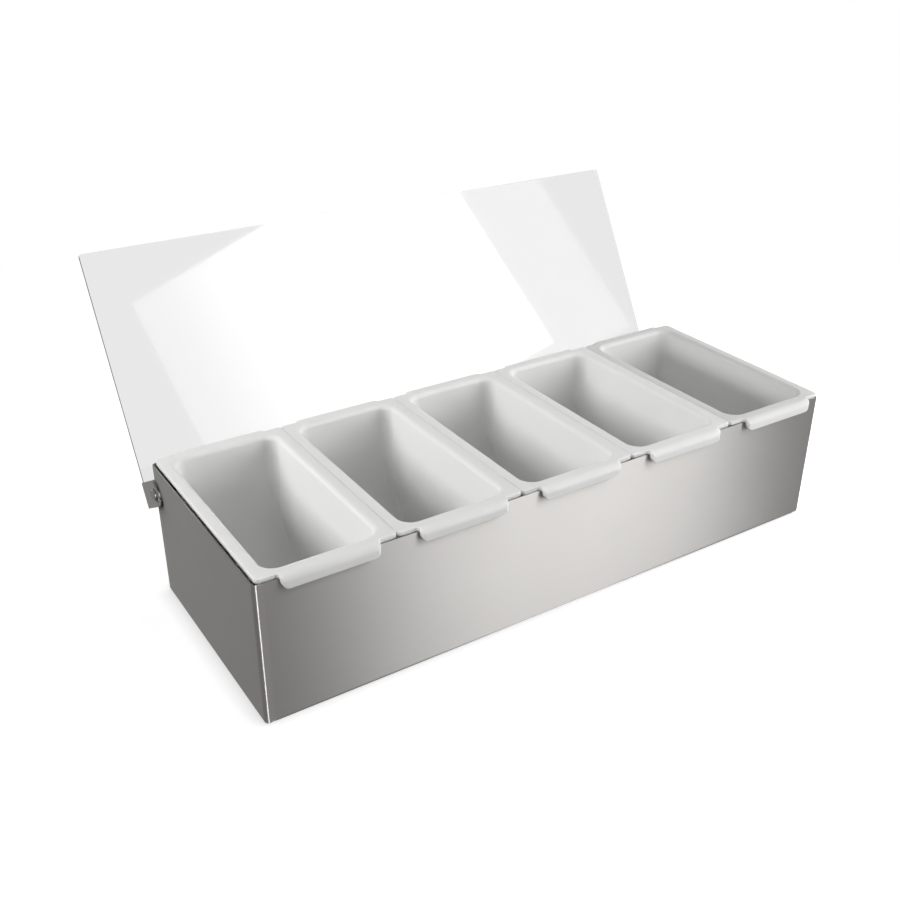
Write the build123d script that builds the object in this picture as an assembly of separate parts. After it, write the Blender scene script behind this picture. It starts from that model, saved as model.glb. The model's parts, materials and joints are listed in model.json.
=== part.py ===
from build123d import *
import os
from math import asin, atan2, cos, degrees, hypot, radians, sin, tan

# Condiment caddy: a folded stainless case, five lift-out tubs in a row and a clear lid on two rivets.
# Millimetres. Origin at the middle of the case's underside, +X along the row to the right, +Y to the
# back, +Z up. The lid is open, leaning back on its stops, and the tubs are down.

# ---- case ----
CASE_DEPTH = 140.0
CASE_HEIGHT = 84.5
END_MARGIN = 1.0             # case past the row of tubs at each end
STEEL = 0.8                  # sheet thickness
CASE_BEND = 2.4              # outside radius of the folded edges
END_RETURN = 3.0             # flat of the end panel past its bend, up to the welded seam

# ---- tubs ----
TUB_COUNT = 5
TUB_PITCH = 76.4
TUB_GAP = 0.1                # between two rims
ROW_REST = 1.0               # the loose row rests this far right of the case's middle
TUB_WALL = 2.0
UNDER_TUB = 3.5              # space between tub and case floor
RIM_THICK = 2.5
RIM_SIDE = 7.4               # width of the rim beside the mouth
RIM_SETBACK = 0.9            # rim's front edge behind the case's front, and its back edge likewise
RIM_CORNER = 2.5
RIM_EDGE = 0.25              # rounding of the rim's outer top edge
MOUTH_INSET = 6.8            # mouth to the case's front and back
MOUTH_CORNER = 8.0
MOUTH_EDGE = 3.0             # rounding of the mouth's edge
DRAFT = 2.4                  # degrees
FLOOR_FLAT = 12.6            # flat of the floor between the swept front and back ends
FLOOR_EDGE = 3.0             # rounding along the floor's two long edges
FLOOR_RUN = 0.02             # floor and swept ends run this far into the walls
LIP_INSET = 11.45            # lip's end to the rim's side
LIP_THICK = 3.0
LIP_GAP = 0.8                # lip to case wall
LIP_DROP = 4.8               # below the case's top edge
LIP_CROWN = 3.8              # rounding over the lip's top edge
LIP_CORNER = 4.4
LIP_BLEND = 2.0              # plan rounding where the lip leaves the rim

# ---- lid ----
LID_THICK = 2.0
LID_CLEAR = 6.8              # lid to rims, above the pivot, when closed
LID_OVERHANG = 9.6           # lid past the case's front when closed
LID_CORNER = 1.5
LID_LEAN = 29.5              # degrees past upright when open
PIVOT_INSET = 5.0            # pivot to the case's back
PIVOT_DROP = 16.5            # pivot below the case's top edge
CLOSED_GAP = 0.3             # lid to the front rims when closed

# ---- hinge brackets, rivets and washers ----
BRACKET = 1.2                # sheet thickness
BRACKET_BEND = 1.0           # inside radius
BRACKET_WIDTH = 15.5
BRACKET_CORNER = 4.2
BRACKET_HEEL = 2.5           # rounding of the arm's corner beside the sheet
ARM_PAST_PIVOT = 4.4
FLANGE_LENGTH = 21.5
TAB_INSET = 8.0              # tab's tip, in from the case's end
TAB_WIDTH = 4.7
TAB_CLEAR = 1.3              # tab to the case's back when the lid is closed
STOP_GAP = 0.3               # tab to the case's back when the lid is open
PIVOT_SHANK = 4.0
PIVOT_HEAD = 7.0
PIVOT_HEAD_THICK = 1.5
PIVOT_TAIL = 5.0
PIVOT_TAIL_THICK = 1.0
WASHER = 9.0
WASHER_THICK = 0.5
SIDE_PLAY = 0.1              # along the pivot, on each side of the arm
PIN_CLEARANCE = 0.05         # radial, round every shank
LID_RIVET_SHANK = 3.0
LID_RIVET_HEAD = 6.0
LID_RIVET_HEAD_THICK = 1.4
LID_RIVET_INSET = 7.0        # first rivet's centre, in from the arm's outer face
LID_RIVET_TIP = 4.0          # second rivet's centre, in from the flange's tip
HEAD_EDGE = 0.8              # rounding of the rivet heads

# ---- sizes that follow ----
HALF_DEPTH = CASE_DEPTH / 2
HALF_LENGTH = TUB_COUNT * TUB_PITCH / 2 + END_MARGIN
RIM_TOP = CASE_HEIGHT + RIM_THICK
RIM_WIDTH = TUB_PITCH - TUB_GAP
MOUTH_WIDTH = RIM_WIDTH - 2 * RIM_SIDE
MOUTH_LENGTH = CASE_DEPTH - 2 * MOUTH_INSET
TUB_FLOOR = STEEL + UNDER_TUB + TUB_WALL
LIP_WIDTH = RIM_WIDTH - 2 * LIP_INSET
LIP_INNER = HALF_DEPTH + LIP_GAP
LIP_OUTER = LIP_INNER + LIP_THICK
LIP_BOTTOM = CASE_HEIGHT - LIP_DROP
PIVOT_Y = HALF_DEPTH - PIVOT_INSET
PIVOT_Z = CASE_HEIGHT - PIVOT_DROP
LID_DROP = PIVOT_DROP + RIM_THICK + LID_CLEAR
LID_REACH = PIVOT_Y + HALF_DEPTH + LID_OVERHANG
LID_TAIL = PIVOT_INSET + BRACKET + TAB_CLEAR
ARM_INNER = HALF_LENGTH + WASHER_THICK + SIDE_PLAY
ARM_OUTER = ARM_INNER + BRACKET
RIVET_SEAT = ARM_OUTER + SIDE_PLAY
LID_PLACE = Location((0, PIVOT_Y, PIVOT_Z), (90 - LID_LEAN, 0, 0))
FAR = 4 * HALF_LENGTH        # longer than the whole object, for cutting right through


# ---- case ----
def case_block(inset):
    """The case as a block with its folded edges rounded, drawn in by inset except at the top."""
    length = 2 * (HALF_LENGTH - inset)
    depth = CASE_DEPTH - 2 * inset
    low = (Align.CENTER, Align.CENTER, Align.MIN)
    block = Pos(0, 0, inset) * Box(length, depth, CASE_HEIGHT - inset, align=low)
    folds = block.edges().filter_by(Axis.Z) + block.edges().group_by(Axis.Z)[0]
    return fillet(folds, CASE_BEND - inset)


def case_sheets():
    """The folded case, cut at its two welded seams: left end panel, wrap, right end panel."""
    shell = case_block(0) - case_block(STEEL)
    seam = HALF_LENGTH - CASE_BEND - END_RETURN
    middle = Box(2 * seam, FAR, FAR)
    ends = (shell - middle - pivot_bore()).solids().sort_by(Axis.X)
    return ends[0], shell & middle, ends[-1]


# ---- pivots ----
def pivot_bore():
    """The clearance hole for both pivot shanks, as one long rod on the pivot's axis."""
    rod = Cylinder(PIVOT_SHANK / 2 + PIN_CLEARANCE, FAR, rotation=(0, 90, 0))
    return Pos(0, PIVOT_Y, PIVOT_Z) * rod


def pivot_disc(diameter, start, thick):
    """A disc on the pivot's axis at the right end, from start outwards."""
    plane = Plane(origin=(start, PIVOT_Y, PIVOT_Z), x_dir=(0, 1, 0), z_dir=(1, 0, 0))
    return extrude(plane * Circle(diameter / 2), thick)


def pivot_rivet():
    """The right pivot rivet: head outside the arm, shank, and the tail upset inside the end panel."""
    inner = HALF_LENGTH - STEEL
    head = pivot_disc(PIVOT_HEAD, RIVET_SEAT, PIVOT_HEAD_THICK)
    head = fillet(head.edges().group_by(Axis.X)[-1], HEAD_EDGE)
    tail = pivot_disc(PIVOT_TAIL, inner - PIVOT_TAIL_THICK, PIVOT_TAIL_THICK)
    shank = pivot_disc(PIVOT_SHANK, inner, RIVET_SEAT - inner)
    return head + shank + tail


def pivot_washer():
    """The right washer, flat on the end panel."""
    return pivot_disc(WASHER, HALF_LENGTH, WASHER_THICK) - pivot_bore()


# ---- tubs ----
def rim_outline():
    """Plan of the rim with its two lips, each lip's corners blended into the rim."""
    rim = RectangleRounded(RIM_WIDTH, CASE_DEPTH - 2 * RIM_SETBACK, RIM_CORNER)
    outline = rim + Rectangle(LIP_WIDTH, 2 * LIP_OUTER)
    blends = outline.vertices().filter_by_position(Axis.X, -LIP_WIDTH / 2 - STEEL, LIP_WIDTH / 2 + STEEL)
    return fillet(blends, LIP_BLEND)


def lip_sides():
    """Front view that trims the lips: round at their lower corners, open above the case's edge."""
    high = (Align.CENTER, Align.MIN)
    lips = Pos(0, LIP_BOTTOM) * Rectangle(LIP_WIDTH, 2 * LIP_DROP, align=high)
    lips = fillet(lips.vertices().group_by(Axis.Y)[0], LIP_CORNER)
    return lips + Pos(0, CASE_HEIGHT) * Rectangle(2 * RIM_WIDTH, 2 * RIM_THICK, align=high)


def past_crown():
    """Side view of what is cut away around the lips, which leaves their top edges round."""
    side = Pos(0, (LIP_BOTTOM + RIM_TOP) / 2) * Rectangle(2 * LIP_OUTER, RIM_TOP - LIP_BOTTOM)
    side = fillet(side.vertices().group_by(Axis.Y)[-1], LIP_CROWN)
    return Rectangle(4 * LIP_OUTER, 4 * RIM_TOP) - side


def rim_and_lips():
    """The flat rim with its hooked lips, which hang clear of the case's front and back."""
    plate = extrude(Pos(0, 0, LIP_BOTTOM) * rim_outline(), RIM_TOP - LIP_BOTTOM)
    plate = fillet(plate.edges().group_by(Axis.Z)[-1], RIM_EDGE)
    plate -= extrude(Plane.YZ * past_crown(), FAR, both=True)
    plate &= extrude(Plane.XZ * lip_sides(), FAR, both=True)
    slot = Box(FAR, 2 * LIP_INNER, 2 * CASE_HEIGHT)
    return plate - slot


def drafted_outline(half, floor, draw_in):
    """A trapezium from the floor up to the rim's top, half as wide as given there."""
    foot = half - draw_in
    return Polygon((-foot, floor), (foot, floor), (half, RIM_TOP), (-half, RIM_TOP), align=None)


def bowl(wall):
    """The tub's inside for wall 0, or its outside: drafted, with the front and back ends swept up."""
    floor = TUB_FLOOR - wall
    depth = RIM_TOP - floor
    draw_in = depth * tan(radians(DRAFT))
    half_length = MOUTH_LENGTH / 2 + wall
    half_width = MOUTH_WIDTH / 2 + wall
    sweep = (half_length - draw_in - FLOOR_FLAT / 2) / tan(radians(90 - DRAFT) / 2)
    side = drafted_outline(half_length + FLOOR_RUN, floor, draw_in)
    side = fillet(side.vertices().group_by(Axis.Y)[0], sweep)
    end = drafted_outline(half_width + FLOOR_RUN, floor, draw_in)
    trough = extrude(Plane.YZ * side, FAR, both=True) & extrude(Plane.XZ * end, FAR, both=True)
    walls = trough.faces().sort_by(Axis.X)
    seams = [edge for wall_face in (walls[0], walls[-1]) for edge in wall_face.edges()]
    trough = fillet([edge for edge in seams if edge.center().Z < RIM_TOP], FLOOR_EDGE + wall)
    mouth = RectangleRounded(2 * half_width, 2 * half_length, MOUTH_CORNER + wall)
    down = Plane(origin=(0, 0, RIM_TOP), x_dir=(1, 0, 0), z_dir=(0, 0, -1))
    return trough & extrude(down * mouth, depth, taper=DRAFT)


def tub():
    """One tub in the middle of the case: rim, lips and bowl, hollow, with a rounded mouth."""
    solid = rim_and_lips() + bowl(TUB_WALL) - bowl(0)
    top = solid.faces().sort_by(Axis.Z)[-1]
    return fillet(top.inner_wires()[0].edges(), MOUTH_EDGE)


# ---- lid, in its own frame: pivot at the origin, +Y up the lid, +Z from the sheet to the pivot ----
def lid_rivet_places():
    """Centres of all lid rivets: two in each bracket's flange."""
    first = ARM_OUTER - LID_RIVET_INSET
    middle = BRACKET_WIDTH / 2 - LID_TAIL
    second = ARM_OUTER - FLANGE_LENGTH + LID_RIVET_TIP
    right = [(first, middle), (second, middle)]
    return [(-x, y) for x, y in right] + right


def lid_rivet_bores():
    """The clearance holes for the lid rivets, right through."""
    bore = Cylinder(LID_RIVET_SHANK / 2 + PIN_CLEARANCE, FAR)
    return [Pos(x, y, 0) * bore for x, y in lid_rivet_places()]


def lid_panel():
    """The clear sheet."""
    under = (Align.CENTER, Align.MIN, Align.MAX)
    sheet = Box(2 * HALF_LENGTH, LID_TAIL + LID_REACH, LID_THICK, align=under)
    sheet = fillet(sheet.edges().filter_by(Axis.Z), LID_CORNER)
    return Pos(0, -LID_TAIL, -LID_DROP) * sheet - lid_rivet_bores()


def bracket_angle():
    """End view of the right bracket: arm beside the end panel, flange on the sheet, bend between."""
    flange_top = BRACKET - LID_DROP
    flange_tip = ARM_OUTER - FLANGE_LENGTH
    angle = Polygon(
        (ARM_OUTER, -LID_DROP),
        (ARM_OUTER, ARM_PAST_PIVOT),
        (ARM_INNER, ARM_PAST_PIVOT),
        (ARM_INNER, flange_top),
        (flange_tip, flange_top),
        (flange_tip, -LID_DROP),
        align=None,
    )
    inside = angle.vertices().sort_by_distance((ARM_INNER, flange_top))[0]
    angle = fillet(inside, BRACKET_BEND)
    outside = angle.vertices().sort_by_distance((ARM_OUTER, -LID_DROP))[0]
    return fillet(outside, BRACKET_BEND + BRACKET)


def stop_tab():
    """The tab folded in from the arm's lower edge. It meets the case's back when the lid is open."""
    lean = radians(LID_LEAN)
    near = -(PIVOT_INSET + STOP_GAP + LID_TAIL * sin(lean)) / cos(lean)
    length = ARM_OUTER - HALF_LENGTH + TAB_INSET
    inward = (Align.MAX, Align.MIN, Align.MAX)
    return Pos(ARM_OUTER, -LID_TAIL, near) * Box(length, BRACKET, TAB_WIDTH, align=inward)


def arm_side():
    """Side view of the bracket: round at the arm's free end and at its heel."""
    side = Pos(-LID_TAIL, -LID_DROP) * Rectangle(
        BRACKET_WIDTH, LID_DROP + ARM_PAST_PIVOT, align=(Align.MIN, Align.MIN)
    )
    side = fillet(side.vertices().group_by(Axis.Y)[-1], BRACKET_CORNER)
    heel = side.vertices().sort_by_distance((-LID_TAIL, -LID_DROP))[0]
    return fillet(heel, BRACKET_HEEL)


def hinge_bracket():
    """The right hinge bracket."""
    body = extrude(Plane.XZ.offset(LID_TAIL) * bracket_angle(), -BRACKET_WIDTH)
    body &= extrude(Plane.YZ * arm_side(), FAR)
    flange_end = body.edges().filter_by(Axis.Z).group_by(Axis.X)[0]
    body = fillet(flange_end, BRACKET_CORNER)
    pivot = Pos(0, -PIVOT_Y, -PIVOT_Z) * pivot_bore()
    return body + stop_tab() - pivot - lid_rivet_bores()


def lid_rivet():
    """A lid rivet at the frame's origin: shank through sheet and flange, a head on each side."""
    up = (Align.CENTER, Align.CENTER, Align.MIN)
    low = -LID_DROP - LID_THICK
    high = -LID_DROP + BRACKET
    head = Cylinder(LID_RIVET_HEAD / 2, LID_RIVET_HEAD_THICK, align=up)
    outer = fillet(head.edges().group_by(Axis.Z)[0], HEAD_EDGE)
    inner = fillet(head.edges().group_by(Axis.Z)[-1], HEAD_EDGE)
    shank = Cylinder(LID_RIVET_SHANK / 2, high - low, align=up)
    return Pos(0, 0, low - LID_RIVET_HEAD_THICK) * outer + Pos(0, 0, low) * shank + Pos(0, 0, high) * inner


def closing_turn():
    """Degrees the lid turns from its stops to the front rims, with CLOSED_GAP left over them."""
    ahead = PIVOT_Y + LIP_OUTER - LIP_CROWN
    above = RIM_TOP + CLOSED_GAP - PIVOT_Z
    tilt = atan2(above, ahead) - asin(above / hypot(above, ahead)) + asin(LID_DROP / hypot(above, ahead))
    return 90 + LID_LEAN + degrees(tilt - atan2(above, ahead))


# ---- all pieces ----
solids = {}
solids["left_end_panel"], solids["case_wrap"], solids["right_end_panel"] = case_sheets()
for name, piece in (
    ("pivot_rivet", pivot_rivet()),
    ("pivot_washer", pivot_washer()),
    ("hinge_bracket", LID_PLACE * hinge_bracket()),
):
    solids["right_" + name] = piece
    solids["left_" + name] = mirror(piece, about=Plane.YZ)
solids["lid_panel"] = LID_PLACE * lid_panel()
for number, (x, y) in enumerate(lid_rivet_places(), 1):
    solids[f"lid_rivet_{number}"] = LID_PLACE * Pos(x, y, 0) * lid_rivet()
one_tub = tub()
for number in range(1, TUB_COUNT + 1):
    place = (number - (TUB_COUNT + 1) / 2) * TUB_PITCH + ROW_REST
    solids[f"tub_{number}"] = Pos(place, 0, 0) * one_tub

os.makedirs("parts", exist_ok=True)
for name, solid in solids.items():
    export_step(solid, f"parts/{name}.step")
print(f"lid closes through {closing_turn():.2f} degrees")
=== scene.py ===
import json
from math import pi, radians
import bmesh
import bpy
from mathutils import Matrix, Vector

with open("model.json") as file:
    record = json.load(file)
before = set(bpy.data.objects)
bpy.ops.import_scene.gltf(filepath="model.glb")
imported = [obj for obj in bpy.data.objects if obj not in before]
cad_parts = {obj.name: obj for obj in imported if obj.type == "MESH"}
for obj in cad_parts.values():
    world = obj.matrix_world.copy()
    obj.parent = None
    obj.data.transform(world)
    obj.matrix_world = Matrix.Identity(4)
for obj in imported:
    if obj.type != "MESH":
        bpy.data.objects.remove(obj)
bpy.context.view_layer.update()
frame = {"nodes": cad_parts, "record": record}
MM = 0.001

# ---- camera: measured from the photograph ----
CAMERA_PLACE = Vector((-336.65, -464.93, 376.04)) * MM
CAMERA_YAW = radians(-32.645)
CAMERA_PITCH = radians(28.102)
CAMERA_ROLL = radians(0.148)
CAMERA_LENS = 43.259
SENSOR = 36.0

# ---- studio ----
WHITE = (1.0, 1.0, 1.0, 1.0)
REFLECTED_WHITE = 0.44       # share of the white studio that steel and glossy plastic mirror
SKY_FILL = 0.18              # the studio's own light on the object
DIM_WIDTH = 0.4              # share of a softbox's width over which it dims
TURNED = (-0.527, 0.837, -0.144)     # where the two mirrored front boxes face

FLOOR_SIZE = 12.0            # metres
NEAR_REACH = 0.30            # metres from the object's middle: up to here the floor takes shadows,
OPEN_REACH = 0.75            # and from here it is plain white
NEAR_GLOW = 0.90             # the floor's own white near the object
NEAR_SHADE = 0.50            # share of the lamps' light that it shows there
PAINTED_SHADOW_REACH = 10 * MM      # reach of the painted contact shadow along the object's foot
PAINTED_SHADOW_GLOW = 0.76          # share of the floor's white that is left in that painted shadow
MIRRORED_GLOW = 0.22         # the floor as steel mirrors it: its own white,
MIRRORED_SHADE = 0.35        # and its share of the lamps' light
FLOOR_BOUNCE = 0.60          # share of light that the floor sends back to the object


def colour(code):
    """An sRGB hex colour as linear RGBA."""
    parts = [int(code[i:i + 2], 16) / 255 for i in (1, 3, 5)]
    return tuple(p / 12.92 if p <= 0.04045 else ((p + 0.055) / 1.055) ** 2.4 for p in parts) + (1.0,)


def add(tree, kind, inputs=None, **settings):
    """Adds a node with its settings; an input is a plain value or another node's output."""
    made = tree.nodes.new(kind)
    for name, value in settings.items():
        setattr(made, name, value)
    for name, value in (inputs or {}).items():
        if isinstance(value, bpy.types.NodeSocket):
            tree.links.new(value, made.inputs[name])
        else:
            made.inputs[name].default_value = value
    return made


def new_material(name):
    """An empty node material; returns it with its tree."""
    material = bpy.data.materials.new(name)
    material.use_nodes = True
    material.node_tree.nodes.clear()
    return material, material.node_tree


def close_material(tree, surface):
    """Links the finished shader to the material's output."""
    add(tree, "ShaderNodeOutputMaterial", {"Surface": surface})


def per_mm(size):
    """Texture scale for a pattern of this size in millimetres, on coordinates in metres."""
    return 1000.0 / size


# ---- materials ----
def brushed_stainless():
    """304 stainless sheet, fine brushed along its length: grey, with a soft sheen spread across the grain."""
    material, tree = new_material("brushed_304_stainless")
    place = add(tree, "ShaderNodeTexCoord").outputs["Object"]
    stretched = add(
        tree,
        "ShaderNodeMapping",
        {"Vector": place, "Scale": (0.02, 0.02, 1.0)},
    ).outputs["Vector"]
    grain = add(
        tree,
        "ShaderNodeTexNoise",
        {"Vector": stretched, "Scale": per_mm(0.6), "Detail": 3.0},
    ).outputs["Fac"]
    cloud = add(
        tree,
        "ShaderNodeTexNoise",
        {"Vector": place, "Scale": per_mm(60), "Detail": 2.0},
    ).outputs["Fac"]
    rough = add(
        tree,
        "ShaderNodeMapRange",
        {"Value": grain, "To Min": 0.47, "To Max": 0.52},
    ).outputs["Result"]
    tint = add(
        tree,
        "ShaderNodeMix",
        {"Factor": cloud, "A": colour("#B2B0AE"), "B": colour("#B8B6B4")},
        data_type="RGBA",
    ).outputs["Result"]
    bump = add(
        tree,
        "ShaderNodeBump",
        {"Height": grain, "Strength": 0.08, "Distance": 0.02 * MM},
    ).outputs["Normal"]
    along = add(tree, "ShaderNodeTangent", direction_type="RADIAL", axis="Z").outputs["Tangent"]
    surface = add(
        tree,
        "ShaderNodeBsdfPrincipled",
        {
            "Base Color": tint,
            "Metallic": 1.0,
            "Roughness": rough,
            "Anisotropic": 1.0,
            "Anisotropic Rotation": 0.25,
            "Tangent": along,
            "Normal": bump,
        },
    ).outputs["BSDF"]
    close_material(tree, surface)
    return material


def rivet_steel():
    """Cold-headed stainless rivets and washers: bright, with small patches that shine less."""
    material, tree = new_material("cold_headed_stainless_rivet")
    place = add(tree, "ShaderNodeTexCoord").outputs["Object"]
    wear = add(
        tree,
        "ShaderNodeTexNoise",
        {"Vector": place, "Scale": per_mm(1.5), "Detail": 4.0},
    ).outputs["Fac"]
    rough = add(
        tree,
        "ShaderNodeMapRange",
        {"Value": wear, "To Min": 0.2, "To Max": 0.34},
    ).outputs["Result"]
    surface = add(
        tree,
        "ShaderNodeBsdfPrincipled",
        {"Base Color": colour("#B0AFAE"), "Metallic": 1.0, "Roughness": rough},
    ).outputs["BSDF"]
    close_material(tree, surface)
    return material


def tub_plastic():
    """White polypropylene, injection moulded: soft sheen over a slightly translucent body."""
    material, tree = new_material("moulded_white_polypropylene")
    place = add(tree, "ShaderNodeTexCoord").outputs["Object"]
    grit = add(
        tree,
        "ShaderNodeTexNoise",
        {"Vector": place, "Scale": per_mm(0.8), "Detail": 2.0},
    ).outputs["Fac"]
    flow = add(
        tree,
        "ShaderNodeTexNoise",
        {"Vector": place, "Scale": per_mm(45), "Detail": 2.0},
    ).outputs["Fac"]
    tint = add(
        tree,
        "ShaderNodeMix",
        {"Factor": flow, "A": colour("#E5E5E4"), "B": colour("#E9E9E8")},
        data_type="RGBA",
    ).outputs["Result"]
    bump = add(
        tree,
        "ShaderNodeBump",
        {"Height": grit, "Strength": 0.12, "Distance": 0.03 * MM},
    ).outputs["Normal"]
    surface = add(
        tree,
        "ShaderNodeBsdfPrincipled",
        {
            "Base Color": tint,
            "Roughness": 0.42,
            "IOR": 1.49,
            "Subsurface Weight": 1.0,
            "Subsurface Radius": (1.0, 1.0, 1.0),
            "Subsurface Scale": 2.0 * MM,
            "Normal": bump,
        },
    ).outputs["BSDF"]
    close_material(tree, surface)
    return material


def clear_acrylic():
    """Clear cast acrylic sheet: glossy faces, with the background seen through it a little greyer."""
    material, tree = new_material("clear_cast_acrylic")
    place = add(tree, "ShaderNodeTexCoord").outputs["Object"]
    haze = add(
        tree,
        "ShaderNodeTexNoise",
        {"Vector": place, "Scale": per_mm(25), "Detail": 3.0},
    ).outputs["Fac"]
    rough = add(
        tree,
        "ShaderNodeMapRange",
        {"Value": haze, "To Min": 0.02, "To Max": 0.05},
    ).outputs["Result"]
    surface = add(
        tree,
        "ShaderNodeBsdfPrincipled",
        {
            "Base Color": colour("#EAEAEA"),
            "Roughness": rough,
            "IOR": 1.49,
            "Transmission Weight": 1.0,
        },
    ).outputs["BSDF"]
    close_material(tree, surface)
    return material


# ---- pieces ----
MATERIALS = {
    "stainless_sheet": brushed_stainless(),
    "rivet_steel": rivet_steel(),
    "tub_plastic": tub_plastic(),
    "clear_plastic": clear_acrylic(),
}


def dress_nodes():
    """Gives every CAD node its finish."""
    for part in frame["record"]["subparts"]:
        mesh = frame["nodes"][part["node"]].data
        mesh.materials.clear()
        mesh.materials.append(MATERIALS[part["material_slot"]])


# ---- floor, background, lamps and camera ----
def by_ray(tree, seen, through, mirrored, otherwise):
    """One value each for camera rays, rays through clear plastic, reflections and everything else."""
    path = add(tree, "ShaderNodeLightPath").outputs
    value = otherwise
    for ray, own in (("Is Glossy Ray", mirrored), ("Is Transmission Ray", through), ("Is Camera Ray", seen)):
        value = add(tree, "ShaderNodeMix", {"Factor": path[ray], "A": value, "B": own}).outputs["Result"]
    return value


def floor_white(tree, zone):
    """The floor's white as the camera sees it: less near the object, and least along its foot, where ambient
    occlusion darkens it into a painted contact shadow.
    """
    open_white = add(tree, "ShaderNodeMapRange", {**zone, "To Min": NEAR_GLOW, "To Max": 1.0}).outputs["Result"]
    # painted shadow: ambient occlusion darkens the floor's white in a narrow line along the object's foot
    clear = add(tree, "ShaderNodeAmbientOcclusion", {"Distance": PAINTED_SHADOW_REACH}, samples=16).outputs["AO"]
    painted_contact_shadow = add(
        tree,
        "ShaderNodeMapRange",
        {"Value": clear, "From Min": 0.5, "From Max": 1.0, "To Min": PAINTED_SHADOW_GLOW, "To Max": 1.0},
    ).outputs["Result"]
    return add(tree, "ShaderNodeMath", {0: open_white, 1: painted_contact_shadow}, operation="MULTIPLY").outputs[0]


def studio_floor_white():
    """White studio floor that takes the object's real shadow, carries a painted contact shadow along its foot,
    and runs into plain white beyond it.
    """
    material, tree = new_material("white_studio_floor")
    place = add(tree, "ShaderNodeTexCoord").outputs["Object"]
    reach = add(tree, "ShaderNodeVectorMath", {0: place}, operation="LENGTH").outputs["Value"]
    zone = {"Value": reach, "From Min": NEAR_REACH, "From Max": OPEN_REACH}
    shade = add(tree, "ShaderNodeMapRange", {**zone, "To Min": NEAR_SHADE, "To Max": 0.0}).outputs["Result"]
    glow = by_ray(tree, floor_white(tree, zone), 1.0, MIRRORED_GLOW, 0.0)
    lift = add(tree, "ShaderNodeEmission", {"Color": WHITE, "Strength": glow}).outputs[0]
    pale = by_ray(tree, shade, 0.0, MIRRORED_SHADE, FLOOR_BOUNCE)
    tone = add(tree, "ShaderNodeCombineColor", {"Red": pale, "Green": pale, "Blue": pale}).outputs[0]
    matt = add(tree, "ShaderNodeBsdfDiffuse", {"Color": tone}).outputs[0]
    both = add(tree, "ShaderNodeAddShader", {0: lift, 1: matt}).outputs[0]
    close_material(tree, both)
    return material


def build_floor():
    """The floor that the object stands on."""
    mesh = bpy.data.meshes.new("studio_floor")
    form = bmesh.new()
    bmesh.ops.create_grid(form, x_segments=1, y_segments=1, size=FLOOR_SIZE / 2)
    form.to_mesh(mesh)
    form.free()
    mesh.materials.append(studio_floor_white())
    floor = bpy.data.objects.new("studio_floor", mesh)
    bpy.context.scene.collection.objects.link(floor)


def build_world():
    """Plain white behind the object, a share of it in reflections, and a dimmer fill light."""
    world = bpy.data.worlds.new("studio")
    bpy.context.scene.world = world
    world.use_nodes = True
    tree = world.node_tree
    tree.nodes.clear()
    strength = by_ray(tree, 1.0, 1.0, REFLECTED_WHITE, SKY_FILL)
    sky = add(tree, "ShaderNodeBackground", {"Color": WHITE, "Strength": strength}).outputs[0]
    add(tree, "ShaderNodeOutputWorld", {"Surface": sky})


def dim_to_the_left(lamp, least):
    """Dims a lamp towards its left side, to the share least of its strength."""
    lamp.use_nodes = True
    tree = lamp.node_tree
    tree.nodes.clear()
    spot = add(tree, "ShaderNodeNewGeometry").outputs["Parametric"]
    across = add(tree, "ShaderNodeSeparateXYZ", {"Vector": spot}).outputs["X"]
    share = add(
        tree,
        "ShaderNodeMapRange",
        {"Value": across, "From Min": 0.0, "From Max": DIM_WIDTH, "To Min": least, "To Max": 1.0},
        interpolation_type="SMOOTHSTEP",
    ).outputs["Result"]
    glow = add(tree, "ShaderNodeEmission", {"Color": WHITE, "Strength": share}).outputs[0]
    add(tree, "ShaderNodeOutputLight", {"Surface": glow})


def softbox(name, size, place, faces, radiance, mirrored=False, dims_to=1.0, receivers=()):
    """A rectangular lamp of size (width, height) that either lights the object or is only mirrored in it.

    Where receivers are named, it reaches those nodes alone.
    """
    lamp = bpy.data.lights.new(name, "AREA")
    lamp.shape = "RECTANGLE"
    lamp.size, lamp.size_y = size
    lamp.energy = radiance * size[0] * size[1] * pi
    if dims_to < 1.0:
        dim_to_the_left(lamp, dims_to)
    box = bpy.data.objects.new(name, lamp)
    bpy.context.scene.collection.objects.link(box)
    box.rotation_euler = (-Vector(faces)).to_track_quat("Z", "Y").to_euler()
    box.location = place
    box.visible_camera = False
    box.visible_glossy = mirrored
    box.visible_diffuse = not mirrored
    if receivers:
        lit = bpy.data.collections.new(name + "_receivers")
        for node in receivers:
            lit.objects.link(frame["nodes"][node])
        box.light_linking.receiver_collection = lit


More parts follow.
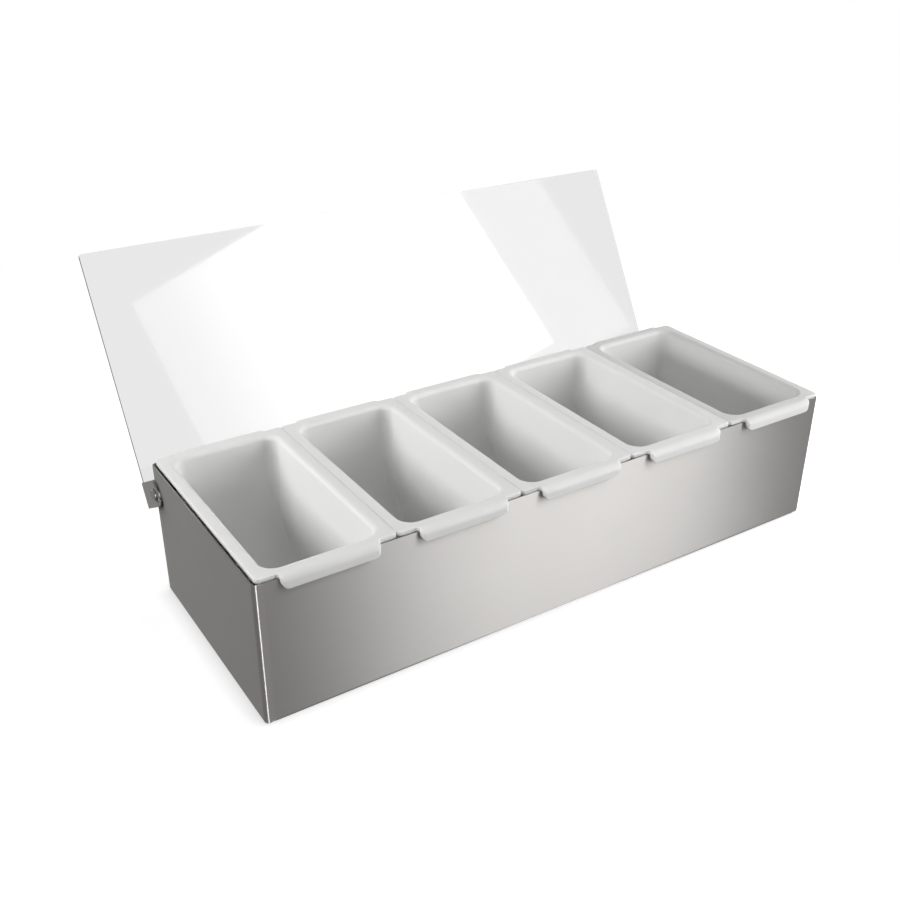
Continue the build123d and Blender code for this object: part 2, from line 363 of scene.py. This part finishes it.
def build_mirrored_boxes():
    """White boxes that are only mirrored: two in the lid and the front, one in the end, one in the bend."""
    softbox(
        "lid_softbox",
        size=(0.470, 0.362),
        place=(0.273, -0.452, 0.533),
        faces=TURNED,
        radiance=3.6,
        mirrored=True,
        dims_to=0.35,
    )
    softbox(
        "steel_softbox",
        size=(0.470, 0.358),
        place=(0.250, -0.525, 0.177),
        faces=TURNED,
        radiance=3.6,
        mirrored=True,
        dims_to=0.2,
    )
    softbox(
        "end_softbox",
        size=(1.0, 0.8),
        place=(-0.50, 0.95, 0.40),
        faces=(0.50, -0.95, -0.30),
        radiance=0.3,
        mirrored=True,
    )
    softbox(
        "corner_strip",
        size=(0.10, 0.60),
        place=(-0.294, -0.559, 0.15),
        faces=(0.21, 0.98, 0.0),
        radiance=17.0,
        mirrored=True,
        receivers=["left_end_panel"],
    )


def build_lamps():
    """Soft lamps that only light, most of them from the front right.

    The two from the left reach the tubs alone, for the light that passes from tub to tub through their walls.
    """
    softbox("key", (0.4, 0.4), (0.45, -0.45, 0.55), (-0.50, 0.62, -0.60), 2.6)
    softbox("low_front", (0.6, 0.25), (0.30, -0.95, 0.22), (-0.25, 0.95, -0.14), 7.5)
    softbox("fill", (0.5, 0.5), (-0.50, -0.72, 0.62), (0.50, 0.72, -0.56), 0.4)
    softbox("low_right", (0.6, 0.4), (1.0, 0.0, 0.45), (-1.0, 0.0, -0.37), 9.0)
    softbox(
        "low_left",
        size=(0.6, 0.4),
        place=(-0.95, 0.25, 0.58),
        faces=(0.95, -0.20, -0.50),
        radiance=12.0,
        receivers=["tub_1", "tub_2", "tub_3", "tub_4"],
    )
    softbox(
        "grazing_left",
        size=(0.5, 0.15),
        place=(-0.70, 0.1, 0.27),
        faces=(0.85, -0.1, -0.18),
        radiance=12.0,
        receivers=["tub_5"],
    )


def build_camera():
    """The photograph's camera."""
    data = bpy.data.cameras.new("photo_camera")
    data.lens = CAMERA_LENS
    data.sensor_width = SENSOR
    camera = bpy.data.objects.new("photo_camera", data)
    bpy.context.scene.collection.objects.link(camera)
    turn = (
        Matrix.Rotation(CAMERA_YAW, 4, "Z")
        @ Matrix.Rotation(pi / 2 - CAMERA_PITCH, 4, "X")
        @ Matrix.Rotation(CAMERA_ROLL, 4, "Z")
    )
    camera.matrix_world = Matrix.Translation(CAMERA_PLACE) @ turn
    bpy.context.scene.camera = camera


dress_nodes()
build_floor()
build_world()
build_mirrored_boxes()
build_lamps()
build_camera()
bpy.context.scene.view_settings.view_transform = "Standard"
